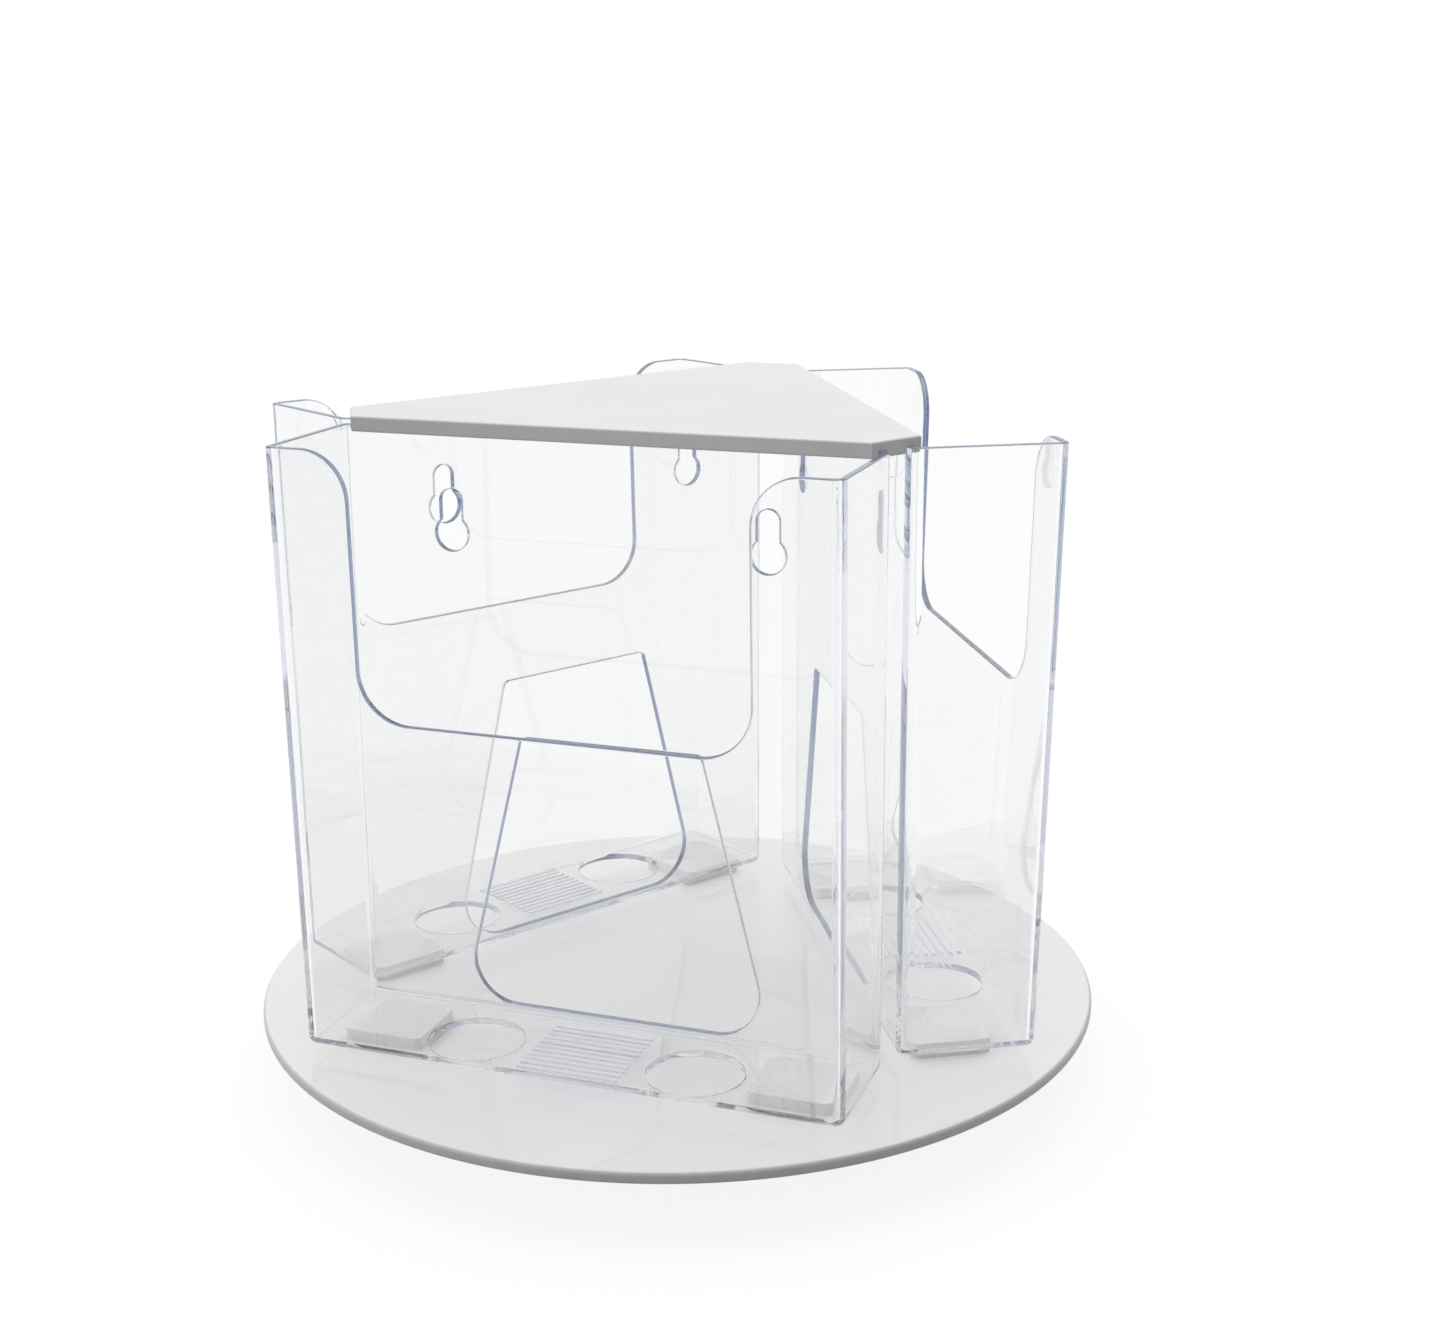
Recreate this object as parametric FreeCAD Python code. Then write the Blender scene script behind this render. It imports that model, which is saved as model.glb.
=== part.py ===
"""Rotating three-pocket leaflet dispenser: clear pockets on a round base that turns on a ball bearing.

Millimetres, +Z up. The origin is on the axis of rotation, at the underside of the rubber feet.
One pocket faces -Y, and the other two stand at 120 and 240 degrees round the axis.
"""
import FreeCAD, Part
import math
import os

V = FreeCAD.Vector
ORIGIN = V(0, 0, 0)
UP = V(0, 0, 1)
TOLERANCE = 1e-6

# ---- driving dimensions ----
POCKET_WIDTH = 160.0
POCKET_HEIGHT = 173.0
POCKET_DEPTH_BOTTOM = 40.4
POCKET_DEPTH_TOP = 44.2
WALL = 2.0
AXIS_TO_BACK = 49.6
PAD_THICKNESS = 3.5
DISC_RADIUS = 127.4
DISC_THICKNESS = 3.5

# pocket details
REAR_CORNER_OUTER = 4.0
REAR_CORNER_INNER = 1.6
FRONT_CORNER_OUTER = 3.0
FRONT_CORNER_INNER = 1.2
BOTTOM_EDGE_RADIUS = 2.2
LIP_HEIGHT = 99.0
WING_INNER_EDGE = 55.7
WING_TOP_RADIUS = 13.5
LIP_CORNER_RADIUS = 14.5
RIM_RADIUS = 0.45

KEYHOLE_OFFSET = 46.8
KEYHOLE_HEAD_RADIUS = 4.9
KEYHOLE_SLOT_RADIUS = 3.15
KEYHOLE_BOTTOM = 138.5
KEYHOLE_TOP = 156.0

WINDOW_TOP_HALF = 27.2
WINDOW_BOTTOM_HALF = 47.7
WINDOW_TOP = 85.4
WINDOW_BOTTOM = 3.4
WINDOW_TOP_RADIUS = 2.0
WINDOW_BOTTOM_RADIUS = 13.0

FLOOR_HOLE_RADIUS = 13.7
FLOOR_HOLE_OFFSET = 33.3
FLOOR_HOLE_DEPTH = 24.1
RIB_COUNT = 11
RIB_LENGTH = 29.8
RIB_WIDTH = 1.3
RIB_HEIGHT = 0.8
RIB_FIRST = 9.6
RIB_LAST = 36.6

# foam pads
PAD_WIDTH = 24.5
PAD_DEPTH = 23.5
PAD_OFFSET = 61.5
PAD_FROM_BACK = 17.4
PAD_CORNER = 2.5

# top plate
PLATE_OVERHANG = 4.4
PLATE_THICKNESS = 4.4
PLATE_CLIP = 92.4
PLATE_ABOVE_POCKETS = 2.6
PLATE_EDGE_RADIUS = 0.6
GROOVE_CLEARANCE = 0.2

# base disc
DISC_RIM_RADIUS = 1.2
BOSS_RADIUS = 5.0
BOSS_HEIGHT = 2.5

# turntable
SHEET = 1.0
BEARING_SIDE = 102.0
BEARING_CORNER = 8.0
RACE_RADIUS = 34.0
BALL_RADIUS = 2.5
BALL_COUNT = 16
BALL_CLEARANCE = 0.3
RACE_HALF_GAP = 0.8
SCREW_CIRCLE = 62.0
DISC_SCREW_ANGLE = 45
FOOT_SCREW_ANGLE = 0
SCREW_HOLE_RADIUS = 2.1
RIVET_OUTER = 10.0
RIVET_INNER = 8.6
RIVET_FLANGE = 14.0
RIVET_SHEET = 0.8
RIVET_CLEARANCE = 0.08
RETAINER_HALF_WIDTH = 4.6
RETAINER_THICKNESS = 1.0
RETAINER_CLEARANCE = 0.1

# screws
SCREW_RADIUS = 1.7
SCREW_HEAD_RADIUS = 3.3
SCREW_HEAD_HEIGHT = 1.8
SCREW_CLEARANCE = 0.05
SCREW_RECESS_WIDTH = 0.8
SCREW_RECESS_LENGTH = 3.4
SCREW_RECESS_DEPTH = 0.9
DISC_SCREW_LENGTH = 5.5
FOOT_SCREW_LENGTH = 4.8

# foot plate and feet
FOOT_PLATE_RADIUS = 75.0
FOOT_PLATE_THICKNESS = 4.5
FOOT_PLATE_EDGE = 1.0
ACCESS_HOLE_RADIUS = 6.0
FOOT_CIRCLE = 64.0
FOOT_RADIUS = 6.5
FOOT_HEIGHT = 3.0
FOOT_EDGE = 0.8

# ---- heights worked out from the above ----
RACE_INNER = BALL_RADIUS + BALL_CLEARANCE
RACE_OUTER = RACE_INNER + SHEET
FOOT_PLATE_TOP = FOOT_HEIGHT + FOOT_PLATE_THICKNESS
BEARING_MIDDLE = FOOT_PLATE_TOP + RACE_OUTER
BEARING_TOP = BEARING_MIDDLE + RACE_OUTER
DISC_BOTTOM = BEARING_TOP + BOSS_HEIGHT
DISC_TOP = DISC_BOTTOM + DISC_THICKNESS
POCKET_BOTTOM = DISC_TOP + PAD_THICKNESS
POCKET_TOP = POCKET_BOTTOM + POCKET_HEIGHT
PLATE_BOTTOM = POCKET_TOP + PLATE_ABOVE_POCKETS - PLATE_THICKNESS

POCKET_ANGLES = {"front": 0.0, "right": 120.0, "left": 240.0}


def rounded_wire(corners, z=0.0):
    """A closed wire at height z through (x, y, radius) corners, each rounded by a tangent arc."""
    points = [V(x, y, z) for x, y, _ in corners]
    starts = []
    ends = []
    arcs = []
    for i, (_, _, radius) in enumerate(corners):
        corner = points[i]
        if radius == 0:
            starts.append(corner)
            ends.append(corner)
            arcs.append(None)
            continue
        back = (points[i - 1] - corner).normalize()
        ahead = (points[(i + 1) % len(points)] - corner).normalize()
        half_angle = back.getAngle(ahead) / 2
        reach = radius / math.tan(half_angle)
        centre = corner + (back + ahead).normalize() * (radius / math.sin(half_angle))
        middle = centre + (corner - centre).normalize() * radius
        starts.append(corner + back * reach)
        ends.append(corner + ahead * reach)
        arcs.append(Part.Arc(starts[i], middle, ends[i]).toShape())
    edges = []
    for i, arc in enumerate(arcs):
        if arc is not None:
            edges.append(arc)
        following = starts[(i + 1) % len(points)]
        if (following - ends[i]).Length > TOLERANCE:
            edges.append(Part.makeLine(ends[i], following))
    return Part.Wire(edges)


def plate_prism(corners, bottom, height):
    """A plate of rounded outline, from height bottom upwards."""
    return Part.Face(rounded_wire(corners, bottom)).extrude(V(0, 0, height))


def wall_prism(corners, y_far, thickness):
    """A prism whose (x, z) outline is extruded along Y, from y_far towards -Y."""
    prism = Part.Face(rounded_wire(corners)).extrude(V(0, 0, thickness))
    prism.rotate(ORIGIN, V(1, 0, 0), 90)
    prism.translate(V(0, y_far, 0))
    return prism


def turned(shape, degrees):
    """A copy of shape, turned about the axis of rotation."""
    copy = shape.copy()
    copy.rotate(ORIGIN, UP, degrees)
    return copy


def cylinder(radius, bottom, height, x=0.0, y=0.0):
    return Part.makeCylinder(radius, height, V(x, y, bottom))


def edges_at_height(shape, z):
    """The edges of shape that lie wholly at height z."""
    found = []
    for edge in shape.Edges:
        box = edge.BoundBox
        if abs(box.ZMin - z) < TOLERANCE and abs(box.ZMax - z) < TOLERANCE:
            found.append(edge)
    return found


# ---- pockets ----
def pocket_depth(z):
    """Outside depth of a pocket at height z above its floor's underside: the front panel leans out."""
    return POCKET_DEPTH_BOTTOM + (POCKET_DEPTH_TOP - POCKET_DEPTH_BOTTOM) * z / POCKET_HEIGHT


def pocket_section(z, inset, rear_radius, front_radius):
    """Horizontal outline of a pocket at height z, moved in by inset."""
    half = POCKET_WIDTH / 2 - inset
    rear = -AXIS_TO_BACK - inset
    front = -AXIS_TO_BACK - pocket_depth(z) + inset
    corners = [
        (-half, rear, rear_radius),
        (-half, front, front_radius),
        (half, front, front_radius),
        (half, rear, rear_radius),
    ]
    return rounded_wire(corners, z)


def pocket_shell():
    """The open-topped box: leaning front panel, rounded corners and a rounded bottom edge."""
    outer = Part.makeLoft(
        [
            pocket_section(0, 0, REAR_CORNER_OUTER, FRONT_CORNER_OUTER),
            pocket_section(POCKET_HEIGHT, 0, REAR_CORNER_OUTER, FRONT_CORNER_OUTER),
        ],
        True,
        True,
    )
    outer = outer.makeFillet(BOTTOM_EDGE_RADIUS, edges_at_height(outer, 0))
    above = POCKET_HEIGHT + WALL
    inner = Part.makeLoft(
        [
            pocket_section(WALL, WALL, REAR_CORNER_INNER, FRONT_CORNER_INNER),
            pocket_section(above, WALL, REAR_CORNER_INNER, FRONT_CORNER_INNER),
        ],
        True,
        True,
    )
    return outer.cut(inner)


def front_cutout():
    """The deep U in the front panel, which leaves a wing at each side."""
    above = POCKET_HEIGHT + WALL
    outside = WING_INNER_EDGE + WING_TOP_RADIUS
    corners = [
        (-outside, above, 0),
        (-outside, POCKET_HEIGHT, 0),
        (-WING_INNER_EDGE, POCKET_HEIGHT, WING_TOP_RADIUS),
        (-WING_INNER_EDGE, LIP_HEIGHT, LIP_CORNER_RADIUS),
        (WING_INNER_EDGE, LIP_HEIGHT, LIP_CORNER_RADIUS),
        (WING_INNER_EDGE, POCKET_HEIGHT, WING_TOP_RADIUS),
        (outside, POCKET_HEIGHT, 0),
        (outside, above, 0),
    ]
    middle_of_pocket = -AXIS_TO_BACK - POCKET_DEPTH_BOTTOM / 2
    return wall_prism(corners, middle_of_pocket, POCKET_DEPTH_BOTTOM)


def back_window():
    """The trapezoid opening low in the back panel."""
    corners = [
        (-WINDOW_TOP_HALF, WINDOW_TOP, WINDOW_TOP_RADIUS),
        (-WINDOW_BOTTOM_HALF, WINDOW_BOTTOM, WINDOW_BOTTOM_RADIUS),
        (WINDOW_BOTTOM_HALF, WINDOW_BOTTOM, WINDOW_BOTTOM_RADIUS),
        (WINDOW_TOP_HALF, WINDOW_TOP, WINDOW_TOP_RADIUS),
    ]
    return wall_prism(corners, -AXIS_TO_BACK + WALL, 3 * WALL)


def keyhole(x):
    """A hanging slot in the back panel: a round entry with a narrower slot above it."""
    y_far = -AXIS_TO_BACK + WALL
    depth = 3 * WALL
    slot_top = KEYHOLE_TOP - KEYHOLE_SLOT_RADIUS
    head_centre = KEYHOLE_BOTTOM + KEYHOLE_HEAD_RADIUS
    head = Part.makeCylinder(KEYHOLE_HEAD_RADIUS, depth, V(x, y_far, head_centre), V(0, -1, 0))
    slot_end = Part.makeCylinder(KEYHOLE_SLOT_RADIUS, depth, V(x, y_far, slot_top), V(0, -1, 0))
    slot = Part.makeBox(
        2 * KEYHOLE_SLOT_RADIUS,
        depth,
        slot_top - head_centre,
        V(x - KEYHOLE_SLOT_RADIUS, y_far - depth, head_centre),
    )
    return head.fuse([slot_end, slot])


def floor_hole(x):
    return cylinder(FLOOR_HOLE_RADIUS, -WALL, 3 * WALL, x, -AXIS_TO_BACK - FLOOR_HOLE_DEPTH)


def floor_ribs():
    """Fine ribs across the middle of the floor, along the pocket's width."""
    pitch = (RIB_LAST - RIB_FIRST) / (RIB_COUNT - 1)
    ribs = []
    for i in range(RIB_COUNT):
        depth = RIB_FIRST + i * pitch
        corner = V(-RIB_LENGTH / 2, -AXIS_TO_BACK - depth - RIB_WIDTH / 2, WALL / 2)
        ribs.append(Part.makeBox(RIB_LENGTH, RIB_WIDTH, WALL / 2 + RIB_HEIGHT, corner))
    return ribs


def rim_edges(shell, cutters):
    """The edges to soften: the top rims, and both edges of each opening that a cutter left."""
    rims = edges_at_height(shell, POCKET_HEIGHT)
    for edge in shell.Edges:
        middle = edge.valueAt((edge.FirstParameter + edge.LastParameter) / 2)
        on_cut = any(cutter.distToShape(Part.Vertex(middle))[0] < TOLERANCE for cutter in cutters)
        across_wall = edge.Length < 1.5 * WALL
        if on_cut and not across_wall and not any(edge.isSame(rim) for rim in rims):
            rims.append(edge)
    return rims


def make_pocket():
    cutters = [front_cutout(), back_window()]
    for side in (-1, 1):
        cutters.append(keyhole(side * KEYHOLE_OFFSET))
        cutters.append(floor_hole(side * FLOOR_HOLE_OFFSET))
    shell = pocket_shell().cut(cutters)
    shell = shell.makeFillet(RIM_RADIUS, rim_edges(shell, cutters))
    pocket = shell.fuse(floor_ribs()).removeSplitter()
    pocket.translate(V(0, 0, POCKET_BOTTOM))
    return pocket


# ---- foam pads ----
def make_pad(side):
    """One double-sided foam pad, under one end of the front pocket's floor."""
    x = side * PAD_OFFSET
    y = -AXIS_TO_BACK - PAD_FROM_BACK
    corners = [
        (x - PAD_WIDTH / 2, y - PAD_DEPTH / 2, PAD_CORNER),
        (x + PAD_WIDTH / 2, y - PAD_DEPTH / 2, PAD_CORNER),
        (x + PAD_WIDTH / 2, y + PAD_DEPTH / 2, PAD_CORNER),
        (x - PAD_WIDTH / 2, y + PAD_DEPTH / 2, PAD_CORNER),
    ]
    return plate_prism(corners, DISC_TOP, PAD_THICKNESS)


# ---- top plate ----
def plate_outline():
    """An equilateral triangle with clipped corners, one edge over each pocket's back panel."""
    inner_radius = AXIS_TO_BACK + PLATE_OVERHANG
    half_edge = (PLATE_CLIP - inner_radius * math.cos(math.pi / 3)) / math.sin(math.pi / 3)
    corners = []
    for angle in POCKET_ANGLES.values():
        for x in (-half_edge, half_edge):
            point = V(x, -inner_radius, 0)
            turn = FreeCAD.Rotation(UP, angle)
            point = turn.multVec(point)
            corners.append((point.x, point.y, 0))
    return corners


def make_top_plate():
    """The plate that ties the pockets together: the back panels' top edges sit in its grooves."""
    plate = plate_prism(plate_outline(), PLATE_BOTTOM, PLATE_THICKNESS)
    top_edges = edges_at_height(plate, PLATE_BOTTOM + PLATE_THICKNESS)
    bottom_edges = edges_at_height(plate, PLATE_BOTTOM)
    plate = plate.makeFillet(PLATE_EDGE_RADIUS, top_edges + bottom_edges)
    groove = Part.makeBox(
        POCKET_WIDTH + 2 * WALL,
        WALL + 2 * GROOVE_CLEARANCE,
        POCKET_TOP + GROOVE_CLEARANCE - PLATE_BOTTOM + WALL,
        V(-POCKET_WIDTH / 2 - WALL, -AXIS_TO_BACK - WALL - GROOVE_CLEARANCE, PLATE_BOTTOM - WALL),
    )
    grooves = [turned(groove, angle) for angle in POCKET_ANGLES.values()]
    return plate.cut(grooves)


# ---- base disc ----
def screw_angles(first):
    return [first + 90 * i for i in range(4)]


def on_circle(radius, degrees):
    angle = math.radians(degrees)
    return radius * math.cos(angle), radius * math.sin(angle)


def make_base_disc():
    """The round base, with four blind screw bosses underneath for the turntable's upper plate."""
    disc = cylinder(DISC_RADIUS, DISC_BOTTOM, DISC_THICKNESS)
    rims = [edge for edge in disc.Edges if edge.BoundBox.XLength > DISC_RADIUS]
    disc = disc.makeFillet(DISC_RIM_RADIUS, rims)
    bosses = []
    pilots = []
    for angle in screw_angles(DISC_SCREW_ANGLE):
        x, y = on_circle(SCREW_CIRCLE, angle)
        bosses.append(cylinder(BOSS_RADIUS, BEARING_TOP, BOSS_HEIGHT + DISC_THICKNESS / 2, x, y))
        depth = DISC_SCREW_LENGTH - SHEET + 4 * SCREW_CLEARANCE
        pilots.append(cylinder(SCREW_RADIUS + SCREW_CLEARANCE, BEARING_TOP, depth, x, y))
    return disc.fuse(bosses).cut(pilots).removeSplitter()


# ---- turntable ----
def half_bearing(first_screw_angle):
    """The upper pressed plate of the turntable, built round the bearing's middle plane at z = 0."""
    half = BEARING_SIDE / 2
    turn = first_screw_angle - DISC_SCREW_ANGLE
    square = [
        (-half, -half, BEARING_CORNER),
        (half, -half, BEARING_CORNER),
        (half, half, BEARING_CORNER),
        (-half, half, BEARING_CORNER),
    ]
    flat = turned(plate_prism(square, RACE_INNER, SHEET), turn)
    flat = flat.cut(cylinder(RACE_RADIUS, 0, 2 * RACE_OUTER))
    race = Part.makeTorus(RACE_RADIUS, RACE_OUTER)
    race = race.common(cylinder(RACE_RADIUS + RACE_OUTER, RACE_HALF_GAP, RACE_OUTER))
    dish = cylinder(RACE_RADIUS - RACE_INNER, RACE_HALF_GAP, SHEET)
    plate = flat.fuse([race, dish])
    plate = plate.cut(Part.makeTorus(RACE_RADIUS, RACE_INNER))
    holes = []
    for angle in screw_angles(first_screw_angle):
        x, y = on_circle(SCREW_CIRCLE, angle)
        holes.append(cylinder(SCREW_HOLE_RADIUS, 0, 2 * RACE_OUTER, x, y))
    return plate.cut(holes).removeSplitter()


def make_upper_race_plate():
    plate = half_bearing(DISC_SCREW_ANGLE).cut(cylinder(RIVET_OUTER + RIVET_CLEARANCE, 0, RACE_OUTER))
    plate.translate(V(0, 0, BEARING_MIDDLE))
    return plate


def make_lower_race_plate():
    plate = half_bearing(FOOT_SCREW_ANGLE).cut(cylinder(RIVET_OUTER, 0, RACE_OUTER))
    plate.rotate(ORIGIN, V(1, 0, 0), 180)
    plate.translate(V(0, 0, BEARING_MIDDLE))
    return plate


def make_centre_rivet():
    """Tubular rivet: fixed to the lower plate, its upper flange holds the upper plate down."""
    lower_face = -RACE_HALF_GAP - SHEET
    upper_face = RACE_HALF_GAP + SHEET + BALL_CLEARANCE
    tube = cylinder(RIVET_OUTER, lower_face - RIVET_SHEET, upper_face - lower_face + 2 * RIVET_SHEET)
    lower_flange = cylinder(RIVET_FLANGE, lower_face - RIVET_SHEET, RIVET_SHEET)
    upper_flange = cylinder(RIVET_FLANGE, upper_face, RIVET_SHEET)
    rivet = tube.fuse([lower_flange, upper_flange])
    rivet = rivet.cut(cylinder(RIVET_INNER, -2 * RACE_OUTER, 4 * RACE_OUTER)).removeSplitter()
    rivet.translate(V(0, 0, BEARING_MIDDLE))
    return rivet


def ball_centres():
    centres = []
    for i in range(BALL_COUNT):
        x, y = on_circle(RACE_RADIUS, 360.0 * i / BALL_COUNT)
        centres.append(V(x, y, BEARING_MIDDLE))
    return centres


def make_balls():
    return Part.makeCompound([Part.makeSphere(BALL_RADIUS, centre) for centre in ball_centres()])


def make_ball_retainer():
    """The flat ring that keeps the balls evenly spaced."""
    bottom = BEARING_MIDDLE - RETAINER_THICKNESS / 2
    ring = cylinder(RACE_RADIUS + RETAINER_HALF_WIDTH, bottom, RETAINER_THICKNESS)
    ring = ring.cut(cylinder(RACE_RADIUS - RETAINER_HALF_WIDTH, bottom, RETAINER_THICKNESS))
    seats = []
    for centre in ball_centres():
        radius = BALL_RADIUS + RETAINER_CLEARANCE
        seats.append(cylinder(radius, bottom, RETAINER_THICKNESS, centre.x, centre.y))
    return ring.cut(seats)


# ---- screws ----
def screw(length):
    """A pan-head self-tapping screw, shank upwards, with its head's seat at z = 0."""
    head = cylinder(SCREW_HEAD_RADIUS, -SCREW_HEAD_HEIGHT, SCREW_HEAD_HEIGHT)
    head = head.makeFillet(SCREW_HEAD_HEIGHT / 2, edges_at_height(head, -SCREW_HEAD_HEIGHT)[:1])
    straight = length - SCREW_RADIUS / 2
    shank = cylinder(SCREW_RADIUS, 0, straight)
    point = Part.makeCone(SCREW_RADIUS, SCREW_RADIUS / 2, SCREW_RADIUS / 2, V(0, 0, straight))
    body = head.fuse([shank, point])
    slots = []
    for long_x in (True, False):
        size_x = SCREW_RECESS_LENGTH if long_x else SCREW_RECESS_WIDTH
        size_y = SCREW_RECESS_WIDTH if long_x else SCREW_RECESS_LENGTH
        corner = V(-size_x / 2, -size_y / 2, -SCREW_HEAD_HEIGHT)
        slots.append(Part.makeBox(size_x, size_y, SCREW_RECESS_DEPTH, corner))
    return body.cut(slots).removeSplitter()


def screw_group(length, first_angle, seat, upwards):
    """Four equal screws round the axis, as separate solids in one group."""
    screws = []
    for angle in screw_angles(first_angle):
        one = screw(length)
        if not upwards:
            one.rotate(ORIGIN, V(1, 0, 0), 180)
        x, y = on_circle(SCREW_CIRCLE, angle)
        one.translate(V(x, y, seat))
        screws.append(one)
    return Part.makeCompound(screws)


# ---- foot plate and feet ----
def make_foot_plate():
    """The plate that stays still, with blind pilot holes and one hole for reaching the disc screws."""
    plate = cylinder(FOOT_PLATE_RADIUS, FOOT_HEIGHT, FOOT_PLATE_THICKNESS)
    rims = [edge for edge in plate.Edges if edge.BoundBox.XLength > FOOT_PLATE_RADIUS]
    plate = plate.makeFillet(FOOT_PLATE_EDGE, rims)
    holes = []
    depth = FOOT_SCREW_LENGTH - SHEET + 4 * SCREW_CLEARANCE
    for angle in screw_angles(FOOT_SCREW_ANGLE):
        x, y = on_circle(SCREW_CIRCLE, angle)
        holes.append(cylinder(SCREW_RADIUS + SCREW_CLEARANCE, FOOT_PLATE_TOP - depth, depth, x, y))
    x, y = on_circle(SCREW_CIRCLE, DISC_SCREW_ANGLE)
    holes.append(cylinder(ACCESS_HOLE_RADIUS, FOOT_HEIGHT, FOOT_PLATE_THICKNESS, x, y))
    return plate.cut(holes)


def make_foot(angle):
    x, y = on_circle(FOOT_CIRCLE, angle)
    foot = cylinder(FOOT_RADIUS, 0, FOOT_HEIGHT, x, y)
    return foot.makeFillet(FOOT_EDGE, edges_at_height(foot, 0)[:1])


def build_parts():
    """Every sub-part by name."""
    parts = {}
    pocket = make_pocket()
    for place, angle in POCKET_ANGLES.items():
        parts["pocket_" + place] = turned(pocket, angle)
        for name, side in (("a", -1), ("b", 1)):
            parts["foam_pad_" + place + "_" + name] = turned(make_pad(side), angle)
    parts["top_plate"] = make_top_plate()
    parts["base_disc"] = make_base_disc()
    parts["upper_race_plate"] = make_upper_race_plate()
    parts["lower_race_plate"] = make_lower_race_plate()
    parts["centre_rivet"] = make_centre_rivet()
    parts["bearing_balls"] = make_balls()
    parts["ball_retainer"] = make_ball_retainer()
    seat = BEARING_TOP - SHEET
    parts["disc_screws"] = screw_group(DISC_SCREW_LENGTH, DISC_SCREW_ANGLE, seat, True)
    seat = FOOT_PLATE_TOP + SHEET
    parts["foot_plate_screws"] = screw_group(FOOT_SCREW_LENGTH, FOOT_SCREW_ANGLE, seat, False)
    parts["foot_plate"] = make_foot_plate()
    for i, angle in enumerate(screw_angles(0)):
        parts["rubber_foot_" + str(i + 1)] = make_foot(angle)
    return parts


os.makedirs("parts", exist_ok=True)
for part_name, part_shape in build_parts().items():
    part_shape.exportStep("parts/" + part_name + ".step")
    valid = all(solid.isValid() for solid in part_shape.Solids)
    print(part_name, len(part_shape.Solids), "solids,", "valid" if valid else "BAD")
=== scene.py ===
"""Looks of the rotating three-pocket leaflet dispenser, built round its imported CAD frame."""
import bmesh
import bpy
import math
from mathutils import Euler, Matrix, Vector


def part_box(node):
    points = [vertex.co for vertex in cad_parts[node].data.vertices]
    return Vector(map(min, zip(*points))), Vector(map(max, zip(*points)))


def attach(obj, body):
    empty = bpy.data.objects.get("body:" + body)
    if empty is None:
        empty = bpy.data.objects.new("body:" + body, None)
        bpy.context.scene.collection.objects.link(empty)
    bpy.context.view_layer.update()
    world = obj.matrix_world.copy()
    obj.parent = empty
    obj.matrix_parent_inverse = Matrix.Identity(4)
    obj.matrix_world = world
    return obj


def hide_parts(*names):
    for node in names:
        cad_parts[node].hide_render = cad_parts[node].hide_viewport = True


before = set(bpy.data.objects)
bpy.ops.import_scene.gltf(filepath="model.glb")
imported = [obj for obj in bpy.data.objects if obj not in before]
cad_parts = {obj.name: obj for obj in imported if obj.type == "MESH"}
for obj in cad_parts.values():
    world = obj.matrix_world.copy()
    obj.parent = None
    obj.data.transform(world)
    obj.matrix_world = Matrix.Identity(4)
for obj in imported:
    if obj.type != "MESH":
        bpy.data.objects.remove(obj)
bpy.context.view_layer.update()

# All lengths are in metres.
PLACES = ("front", "right", "left")
TURN = {"front": 0.0, "right": math.radians(120), "left": math.radians(240)}

# The pockets. The front one is described, and the others are turned copies of it.
WALL_REACH = 0.0022  # a little more than a wall's thickness
ABOVE_FLOOR = 0.0021  # a little more than the floor's thickness
FLOOR_REACH = 0.0029  # a little more than the floor and its ribs
RIB_REACH = 0.0151  # a little more than half a rib's length
TOP_REACH = 0.0006  # a little more than the rounding of the top edges
CUT_HALF_WIDTH = 0.075  # window, keyholes and front cut-out all lie within this of the middle
BOTTOM_FRONT = 0.0900  # from the turning axis to the front pocket's outer face, at its bottom
FLARE = 0.0038 / 0.173  # how far the front wall leans out for each metre of height

# The base disc and the foot plate.
DISC_THICKNESS = 0.0035
DISC_EDGE = 0.0012
FOOT_PLATE_EDGE = 0.001
BOSS_RADIUS = 0.005
BOSS_EDGE = 0.0002
SCREW_CIRCLE = 0.062
DISC_SCREW_ANGLE = 45.0
PILOT_RADIUS = 0.00175
DISC_PILOT_DEPTH = 0.0047
FOOT_PILOT_DEPTH = 0.004
ACCESS_RADIUS = 0.006
OVERCUT = 0.001  # how far a hole's cutter stands out of the piece it cuts

# Segments round each turned shape, and steps across a rounded rim.
DISC_SEGMENTS = 512
FOOT_PLATE_SEGMENTS = 384
BOSS_SEGMENTS = 96
PILOT_SEGMENTS = 64
RIM_STEPS = 8
BOSS_RIM_STEPS = 3
SHARP_CORNER = math.radians(30)

# The studio.
FLOOR_HALF_WIDTH = 30.0
FLOOR_GLOW = 0.885  # what the camera and reflections see
FLOOR_LIGHT = 0.15  # what it throws back as scattered light
KEY_HEIGHT = 1.6
KEY_WIDTH = 1.6
KEY_POWER = 6.0
WORLD_TURN = -50.0
CAMERA_ABOVE_DISC = 0.2669
CAMERA_DEGREES = (74.86, 0.32, 19.68)
MOST_BOUNCES = 256  # light that runs along inside a clear wall turns back many times
MOST_CLEAR_FACES = 64  # clear faces that lamp and scattered light passes straight through

disc_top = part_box("base_disc")[1].z
pocket_low, pocket_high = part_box("pocket_front")
scene = bpy.context.scene


# ---- node helpers ----
def new_material(name):
    material = bpy.data.materials.new(name)
    material.use_nodes = True
    tree = material.node_tree
    shader = tree.nodes["Principled BSDF"]
    return material, tree, shader


def grey(level):
    return level, level, level


def object_coordinates(tree):
    return tree.nodes.new("ShaderNodeTexCoord").outputs["Object"]


def noise(tree, scale, detail=4.0):
    """Procedural noise in object space."""
    texture = tree.nodes.new("ShaderNodeTexNoise")
    texture.inputs["Scale"].default_value = scale
    texture.inputs["Detail"].default_value = detail
    tree.links.new(object_coordinates(tree), texture.inputs["Vector"])
    return texture.outputs["Fac"]


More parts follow.
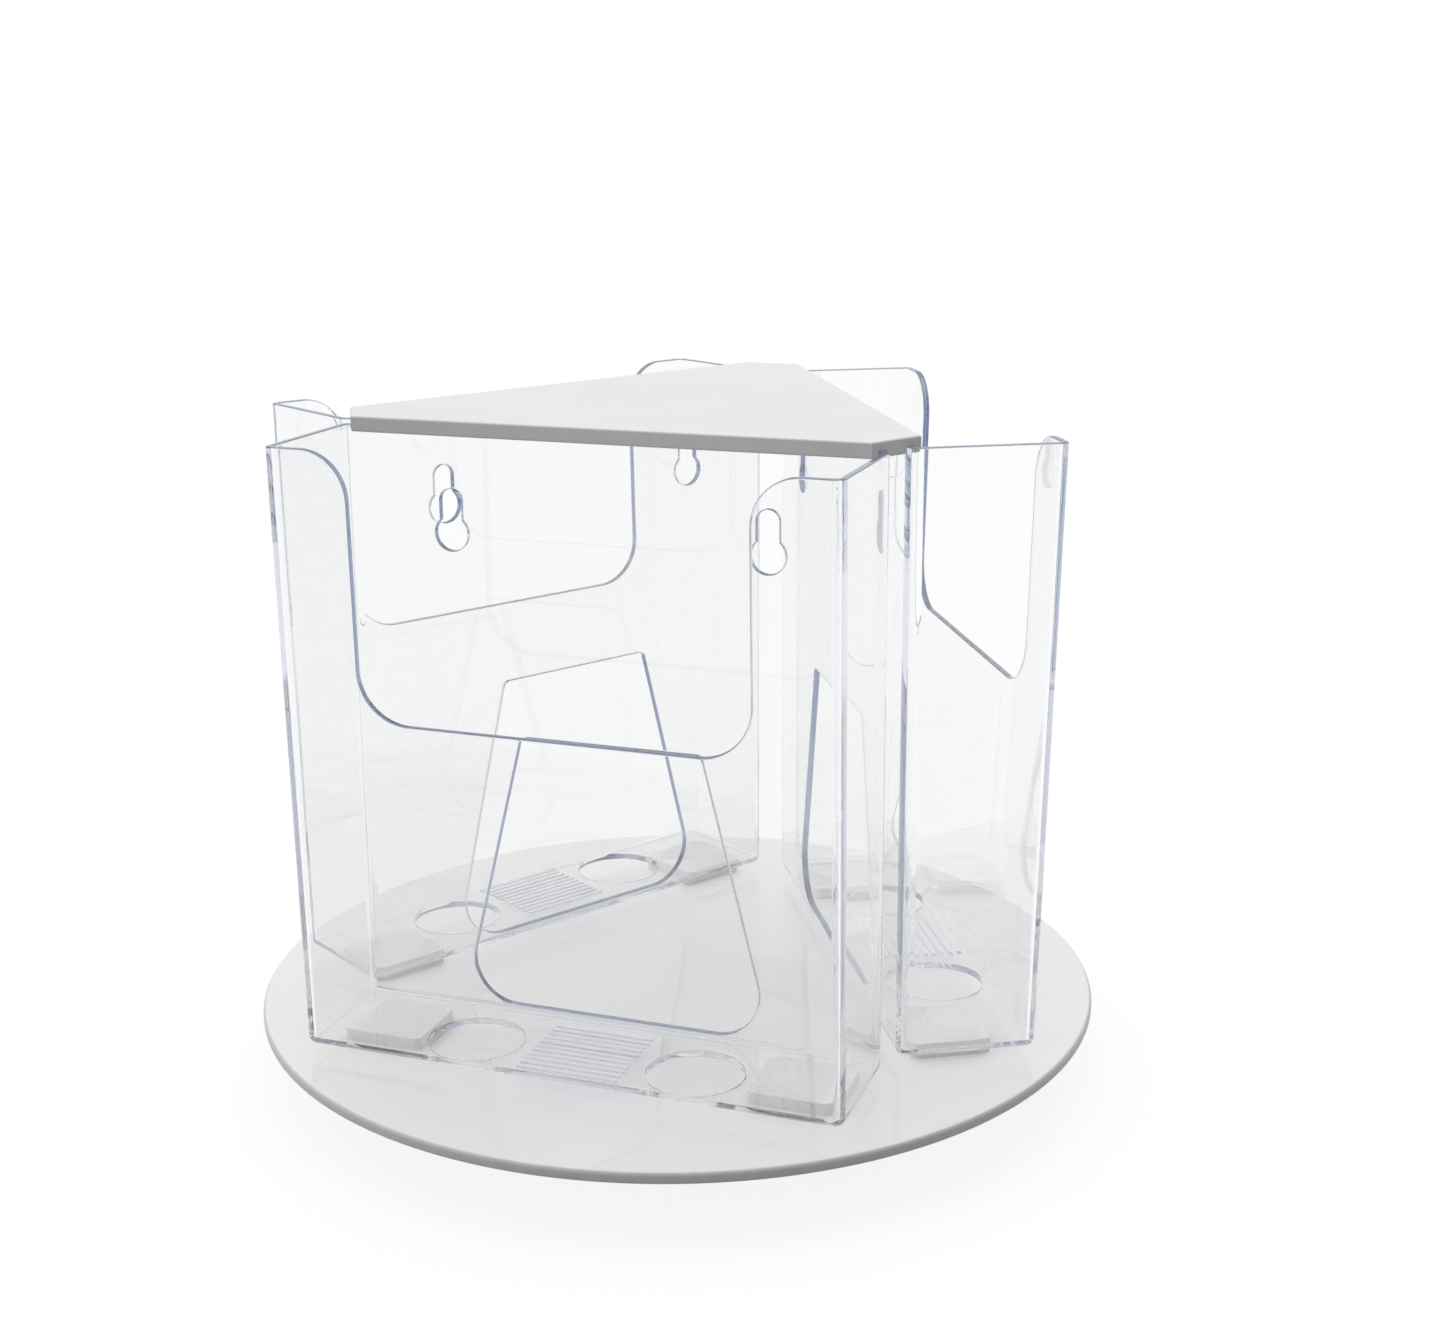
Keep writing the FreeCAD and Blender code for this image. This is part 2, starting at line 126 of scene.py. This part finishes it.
def ramp(tree, value, low, high, out_low, out_high):
    """Out_low up to low, out_high from high on, and a straight line between them."""
    node = tree.nodes.new("ShaderNodeMapRange")
    node.inputs["From Min"].default_value = low
    node.inputs["From Max"].default_value = high
    node.inputs["To Min"].default_value = out_low
    node.inputs["To Max"].default_value = out_high
    tree.links.new(value, node.inputs["Value"])
    return node.outputs["Result"]


def calculate(tree, operation, *values):
    node = tree.nodes.new("ShaderNodeMath")
    node.operation = operation
    for value, socket in zip(values, node.inputs):
        tree.links.new(value, socket)
    return node.outputs[0]


def choose(tree, switch, off, on):
    """The value off where switch is 0, and on where it is 1."""
    node = tree.nodes.new("ShaderNodeMix")
    tree.links.new(switch, node.inputs[0])
    tree.links.new(off, node.inputs[2])
    tree.links.new(on, node.inputs[3])
    return node.outputs[0]


def choose_colour(tree, switch, off, on):
    node = tree.nodes.new("ShaderNodeMix")
    node.data_type = "RGBA"
    tree.links.new(switch, node.inputs[0])
    tree.links.new(off, node.inputs[6])
    tree.links.new(on, node.inputs[7])
    return node.outputs[2]


def colours(tree, value, low, high):
    """A colour between low and high, by a noise value."""
    node = tree.nodes.new("ShaderNodeValToRGB")
    node.color_ramp.elements[0].color = (*low, 1)
    node.color_ramp.elements[1].color = (*high, 1)
    node.color_ramp.elements[0].position = 0.3
    node.color_ramp.elements[1].position = 0.7
    tree.links.new(value, node.inputs["Fac"])
    return node.outputs["Color"]


def vary_roughness(tree, shader, scale, low, high):
    tree.links.new(ramp(tree, noise(tree, scale), 0.3, 0.7, low, high), shader.inputs["Roughness"])


def bump(tree, shader, height, strength, distance):
    node = tree.nodes.new("ShaderNodeBump")
    node.inputs["Strength"].default_value = strength
    node.inputs["Distance"].default_value = distance
    tree.links.new(height, node.inputs["Height"])
    tree.links.new(node.outputs["Normal"], shader.inputs["Normal"])


# ---- materials ----
def clear_plastic(name, tint_and_painted_shade, clear_part=1.0):
    """Moulded clear polystyrene: polished, with the faint waviness of a moulded panel.

    clear_part is below 1 where fine moulded detail scatters some of the light.
    Lamp light and scattered light pass straight through it, so what stands behind it is lit
    evenly. The absorption turns light that has run along inside a wall slate blue.
    """
    material, tree, shader = new_material(name)
    shader.inputs["Base Color"].default_value = (*tint_and_painted_shade, 1)
    shader.inputs["Transmission Weight"].default_value = clear_part
    shader.inputs["IOR"].default_value = 1.59
    wear = noise(tree, 60.0)
    tree.links.new(ramp(tree, wear, 0.45, 0.75, 0.0, 0.03), shader.inputs["Roughness"])
    bump(tree, shader, noise(tree, 14.0, 2.0), 0.25, 0.0004)
    rays = tree.nodes.new("ShaderNodeLightPath")
    output = tree.nodes["Material Output"]
    last = shader.outputs["BSDF"]
    for kind in ("Is Diffuse Ray", "Is Shadow Ray"):
        clear = tree.nodes.new("ShaderNodeBsdfTransparent")
        clear.inputs["Color"].default_value = (0.998, 0.998, 0.998, 1)
        mix = tree.nodes.new("ShaderNodeMixShader")
        tree.links.new(rays.outputs[kind], mix.inputs[0])
        tree.links.new(last, mix.inputs[1])
        tree.links.new(clear.outputs["BSDF"], mix.inputs[2])
        last = mix.outputs["Shader"]
    tree.links.new(last, output.inputs["Surface"])
    depth = tree.nodes.new("ShaderNodeVolumeAbsorption")
    depth.inputs["Color"].default_value = (0.5, 0.58, 0.85, 1)
    depth.inputs["Density"].default_value = 1.2
    tree.links.new(depth.outputs["Volume"], output.inputs["Volume"])
    return material


def white_plastic(name, low, high, roughness, grain=0.1):
    """Plain opaque plastic with a fine grain."""
    material, tree, shader = new_material(name)
    tree.links.new(colours(tree, noise(tree, 22.0), low, high), shader.inputs["Base Color"])
    vary_roughness(tree, shader, 90.0, *roughness)
    bump(tree, shader, noise(tree, 900.0, 1.0), grain, 0.0002)
    return material


def polished_white():
    """White acrylic sheet: polished where it is level, and matt round its rim, where the colour is
    painted a darker grey as shade on the sideways-facing faces.
    """
    material, tree, shader = new_material("white_base")
    normal = tree.nodes.new("ShaderNodeSeparateXYZ")
    facing = tree.nodes.new("ShaderNodeTexCoord").outputs["Normal"]
    tree.links.new(facing, normal.inputs["Vector"])
    upright = calculate(tree, "ABSOLUTE", normal.outputs["Z"])
    level = ramp(tree, upright, 0.8, 0.98, 0.0, 1.0)
    # painted shade: the sideways-facing rim gets a darker grey (0.58-0.63) than the level sheet,
    # standing in for the shade it falls in
    rim = colours(tree, noise(tree, 300.0), grey(0.58), grey(0.63))
    sheet = colours(tree, noise(tree, 22.0), grey(0.81), grey(0.825))
    tree.links.new(choose_colour(tree, level, rim, sheet), shader.inputs["Base Color"])
    vary_roughness(tree, shader, 90.0, 0.38, 0.42)
    tree.links.new(level, shader.inputs["Coat Weight"])
    shader.inputs["Coat Roughness"].default_value = 0.015
    bump(tree, shader, noise(tree, 9.0, 1.0), 0.1, 0.0002)
    return material


def foam():
    material, tree, shader = new_material("grey_foam")
    cells = tree.nodes.new("ShaderNodeTexVoronoi")
    cells.inputs["Scale"].default_value = 1500.0
    tree.links.new(object_coordinates(tree), cells.inputs["Vector"])
    shade_of_cell = colours(tree, cells.outputs["Distance"], grey(0.75), grey(0.83))
    tree.links.new(shade_of_cell, shader.inputs["Base Color"])
    shader.inputs["Roughness"].default_value = 0.9
    bump(tree, shader, cells.outputs["Distance"], 0.5, 0.0003)
    return material


def steel(name, colour, roughness):
    material, tree, shader = new_material(name)
    low = tuple(c * 0.85 for c in colour)
    tree.links.new(colours(tree, noise(tree, 40.0), low, colour), shader.inputs["Base Color"])
    shader.inputs["Metallic"].default_value = 1.0
    vary_roughness(tree, shader, 160.0, roughness, roughness + 0.12)
    bump(tree, shader, noise(tree, 500.0), 0.1, 0.0002)
    return material


def rubber():
    material, tree, shader = new_material("black_rubber")
    black = colours(tree, noise(tree, 120.0), grey(0.02), grey(0.045))
    tree.links.new(black, shader.inputs["Base Color"])
    shader.inputs["Roughness"].default_value = 0.75
    bump(tree, shader, noise(tree, 1500.0), 0.4, 0.0002)
    return material


def dress(node, material):
    """Puts one material on a CAD node."""
    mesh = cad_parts[node].data
    mesh.materials.clear()
    mesh.materials.append(material)


def is_cut_edge(place, face):
    """True for the narrow faces round a pocket's top, cut-outs, window and keyholes."""
    turn = Matrix.Rotation(-TURN[place], 3, "Z")
    middle, normal = turn @ face.center, turn @ face.normal
    across, out, up = abs(middle.x), -middle.y, middle.z - pocket_low.z
    if middle.z > pocket_high.z - TOP_REACH and normal.z > 0.3:
        return True
    in_back = out < -pocket_high.y + WALL_REACH
    in_front = out > BOTTOM_FRONT + FLARE * up - WALL_REACH
    if up > FLOOR_REACH and across < CUT_HALF_WIDTH and (in_back or in_front):
        return abs(normal.y) < 0.9
    return False


def is_rib(place, face):
    """True for the sides and tops of the fine ribs on a pocket's floor."""
    middle = Matrix.Rotation(-TURN[place], 3, "Z") @ face.center
    up = middle.z - pocket_low.z
    return ABOVE_FLOOR < up < FLOOR_REACH and abs(middle.x) < RIB_REACH


def dress_pocket(place, plastic, edge, rib):
    dress("pocket_" + place, plastic)
    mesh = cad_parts["pocket_" + place].data
    mesh.materials.append(edge)
    mesh.materials.append(rib)
    for face in mesh.polygons:
        if is_cut_edge(place, face):
            # these cut faces take the dark copy of the clear plastic that paints in shade
            face.material_index = 1
        elif is_rib(place, face):
            face.material_index = 2
        else:
            face.material_index = 0


def dress_all():
    plastic = clear_plastic("clear_polystyrene", (0.963, 0.964, 0.965))
    # painted shade: the narrow cut faces round the top, cut-outs, window and keyholes get a dark
    # slate-blue copy of the clear plastic, standing in for the dark lines that light running
    # inside the walls makes there
    edge = clear_plastic("clear_polystyrene_edge_painted_shade", (0.2, 0.26, 0.34))
    rib = clear_plastic("clear_polystyrene_ribs", (0.97, 0.97, 0.97), 0.55)
    pad = foam()
    for place in PLACES:
        dress_pocket(place, plastic, edge, rib)
        dress("foam_pad_" + place + "_a", pad)
        dress("foam_pad_" + place + "_b", pad)
    dress("top_plate", white_plastic("white_plate", grey(0.72), grey(0.76), (0.38, 0.5), 0.3))
    make_base_disc(polished_white())
    foot = white_plastic("white_foot_plate", (0.68, 0.68, 0.67), (0.74, 0.74, 0.73), (0.4, 0.5))
    make_foot_plate(foot)
    zinc = steel("zinc_steel", (0.62, 0.63, 0.65), 0.25)
    dress("upper_race_plate", zinc)
    dress("lower_race_plate", zinc)
    dress("centre_rivet", steel("rivet_steel", (0.5, 0.5, 0.52), 0.3))
    dress("bearing_balls", steel("ball_steel", (0.78, 0.78, 0.8), 0.05))
    nylon = white_plastic("nylon", (0.72, 0.7, 0.64), (0.78, 0.76, 0.7), (0.4, 0.55))
    dress("ball_retainer", nylon)
    screws = steel("screw_steel", (0.6, 0.6, 0.6), 0.25)
    dress("disc_screws", screws)
    dress("foot_plate_screws", screws)
    black = rubber()
    for i in range(4):
        dress("rubber_foot_" + str(i + 1), black)


# ---- turned pieces ----
def turned_profile(radius, bottom, top, edge, steps=RIM_STEPS):
    """(radius, height) points up the side of a disc whose rims are rounded by edge."""
    inner = radius - edge
    points = [(inner - edge / 4, bottom)]
    for centre, start in ((bottom + edge, -90), (top - edge, 0)):
        for i in range(steps + 1):
            angle = math.radians(start + 90 * i / steps)
            points.append((inner + edge * math.cos(angle), centre + edge * math.sin(angle)))
    points.append((inner - edge / 4, top))
    return points


def straight_profile(radius, bottom, top):
    return [(radius, bottom), (radius, top)]


def turned_disc(name, profile, segments, place=(0, 0)):
    """A solid of revolution about the vertical axis through place, closed by flat ends."""
    build = bmesh.new()
    rings = []
    for radius, height in profile:
        ring = []
        for i in range(segments):
            angle = 2 * math.pi * i / segments
            x = place[0] + radius * math.cos(angle)
            y = place[1] + radius * math.sin(angle)
            ring.append(build.verts.new((x, y, height)))
        rings.append(ring)
    for below, above in zip(rings, rings[1:]):
        for i in range(segments):
            j = (i + 1) % segments
            build.faces.new((below[i], below[j], above[j], above[i]))
    build.faces.new(list(reversed(rings[0])))
    build.faces.new(rings[-1])
    mesh = bpy.data.meshes.new(name)
    build.to_mesh(mesh)
    build.free()
    piece = bpy.data.objects.new(name, mesh)
    scene.collection.objects.link(piece)
    return piece


def combine(piece, tool, operation):
    """Joins tool to piece, or cuts it out, and takes tool away."""
    modifier = piece.modifiers.new("combine", "BOOLEAN")
    modifier.operation = operation
    modifier.solver = "EXACT"
    modifier.object = tool
    shaped = piece.evaluated_get(bpy.context.evaluated_depsgraph_get())
    result = bpy.data.meshes.new_from_object(shaped)
    piece.modifiers.clear()
    piece.data = result
    bpy.data.objects.remove(tool)


def shade(piece):
    """Smooth over the roundings, sharp at the real corners."""
    build = bmesh.new()
    build.from_mesh(piece.data)
    for face in build.faces:
        face.smooth = True
    for edge in build.edges:
        edge.smooth = edge.calc_face_angle(0) < SHARP_CORNER
    build.to_mesh(piece.data)
    build.free()


def around(radius, degrees):
    return radius * math.cos(math.radians(degrees)), radius * math.sin(math.radians(degrees))


def take_over(piece, node, body, material):
    """Shows piece instead of a CAD node. It rides on that node's body."""
    shade(piece)
    piece.data.materials.clear()
    piece.data.materials.append(material)
    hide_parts(node)
    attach(piece, body)


def make_base_disc(material):
    low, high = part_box("base_disc")
    bottom = high.z - DISC_THICKNESS
    rim = turned_profile(-low.x, bottom, high.z, DISC_EDGE)
    disc = turned_disc("round_base", rim, DISC_SEGMENTS)
    for i in range(4):
        place = around(SCREW_CIRCLE, DISC_SCREW_ANGLE + 90 * i)
        inside = bottom + DISC_THICKNESS / 2
        boss = turned_profile(BOSS_RADIUS, low.z, inside, BOSS_EDGE, BOSS_RIM_STEPS)
        combine(disc, turned_disc("boss", boss, BOSS_SEGMENTS, place), "UNION")
        pilot = straight_profile(PILOT_RADIUS, low.z - OVERCUT, low.z + DISC_PILOT_DEPTH)
        combine(disc, turned_disc("pilot", pilot, PILOT_SEGMENTS, place), "DIFFERENCE")
    take_over(disc, "base_disc", "carousel", material)


def make_foot_plate(material):
    low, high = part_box("foot_plate")
    rim = turned_profile(-low.x, low.z, high.z, FOOT_PLATE_EDGE)
    plate = turned_disc("foot_plate_turned", rim, FOOT_PLATE_SEGMENTS)
    hole = straight_profile(ACCESS_RADIUS, low.z - OVERCUT, high.z + OVERCUT)
    hole_place = around(SCREW_CIRCLE, DISC_SCREW_ANGLE)
    combine(plate, turned_disc("hole", hole, BOSS_SEGMENTS, hole_place), "DIFFERENCE")
    pilot = straight_profile(PILOT_RADIUS, high.z - FOOT_PILOT_DEPTH, high.z + OVERCUT)
    for i in range(4):
        place = around(SCREW_CIRCLE, 90 * i)
        combine(plate, turned_disc("pilot", pilot, PILOT_SEGMENTS, place), "DIFFERENCE")
    take_over(plate, "foot_plate", "base", material)


# ---- floor, world, lamp and camera ----
def make_floor():
    """A plain pale floor. It looks white but throws little light up, as in a far larger room."""
    mesh = bpy.data.meshes.new("floor")
    half = FLOOR_HALF_WIDTH
    corners = [(-half, -half, 0), (half, -half, 0), (half, half, 0), (-half, half, 0)]
    mesh.from_pydata(corners, [], [(0, 1, 2, 3)])
    floor = bpy.data.objects.new("floor", mesh)
    scene.collection.objects.link(floor)
    material, tree, shader = new_material("floor")
    shader.inputs["Base Color"].default_value = (0.12, 0.12, 0.12, 1)
    shader.inputs["Roughness"].default_value = 1.0
    shader.inputs["Specular IOR Level"].default_value = 0.0
    shader.inputs["Emission Color"].default_value = (1, 1, 1, 1)
    scattered = tree.nodes.new("ShaderNodeLightPath").outputs["Is Diffuse Ray"]
    glow = ramp(tree, scattered, 0, 1, FLOOR_GLOW, FLOOR_LIGHT)
    tree.links.new(glow, shader.inputs["Emission Strength"])
    material.cycles.emission_sampling = "NONE"
    mesh.materials.append(material)


def make_world():
    """A soft white room, brightest behind the object and darker above and behind the camera.

    Reflections show a gentler room than the one that lights the object from above, and the
    camera sees plain white behind it.
    """
    world = bpy.data.worlds.new("studio")
    scene.world = world
    world.use_nodes = True
    world.cycles.sampling_method = "NONE"
    tree = world.node_tree
    background = tree.nodes["Background"]
    turned = tree.nodes.new("ShaderNodeMapping")
    turned.inputs["Rotation"].default_value = (0, 0, math.radians(WORLD_TURN))
    direction = tree.nodes.new("ShaderNodeSeparateXYZ")
    around_it = tree.nodes.new("ShaderNodeTexCoord").outputs["Generated"]
    tree.links.new(around_it, turned.inputs["Vector"])
    tree.links.new(turned.outputs["Vector"], direction.inputs["Vector"])
    height, depth = direction.outputs["Z"], direction.outputs["Y"]
    rays = tree.nodes.new("ShaderNodeLightPath")
    seen = calculate(
        tree,
        "MULTIPLY",
        ramp(tree, height, 0.1, 0.7, 1.0, 0.6),
        ramp(tree, depth, -0.6, 0.3, 0.35, 1.0),
    )
    lighting = calculate(
        tree,
        "MULTIPLY",
        ramp(tree, height, 0.0, 0.4, 0.6, 1.3),
        ramp(tree, depth, -0.9, 0.3, 0.12, 1.0),
    )
    room = choose(tree, rays.outputs["Is Diffuse Ray"], seen, lighting)
    strength = calculate(tree, "MAXIMUM", room, rays.outputs["Is Camera Ray"])
    tree.links.new(strength, background.inputs["Strength"])
    background.inputs["Color"].default_value = (1.02, 1.02, 1.02, 1)


def make_key_light():
    data = bpy.data.lights.new("key", "AREA")
    data.shape = "RECTANGLE"
    data.size, data.size_y = KEY_WIDTH, KEY_WIDTH
    data.energy = KEY_POWER
    light = bpy.data.objects.new("key", data)
    light.location = (0.0, 0.2, KEY_HEIGHT)
    aim = Vector((0, 0, 0.1)) - Vector(light.location)
    light.rotation_euler = aim.to_track_quat("-Z", "Y").to_euler()
    scene.collection.objects.link(light)


def make_camera():
    data = bpy.data.cameras.new("camera")
    data.lens = 52.51
    data.sensor_width = 36.0
    data.clip_start = 0.01
    camera = bpy.data.objects.new("camera", data)
    camera.location = (0.2202, -0.5707, disc_top + CAMERA_ABOVE_DISC)
    camera.rotation_euler = Euler([math.radians(angle) for angle in CAMERA_DEGREES], "XYZ")
    scene.collection.objects.link(camera)
    scene.camera = camera


make_camera()
dress_all()
make_floor()
make_world()
make_key_light()

scene.view_settings.view_transform = "Standard"
scene.cycles.max_bounces = MOST_BOUNCES
scene.cycles.transmission_bounces = MOST_BOUNCES
scene.cycles.glossy_bounces = MOST_BOUNCES
scene.cycles.transparent_max_bounces = MOST_CLEAR_FACES
scene.cycles.caustics_reflective = False
scene.cycles.caustics_refractive = False
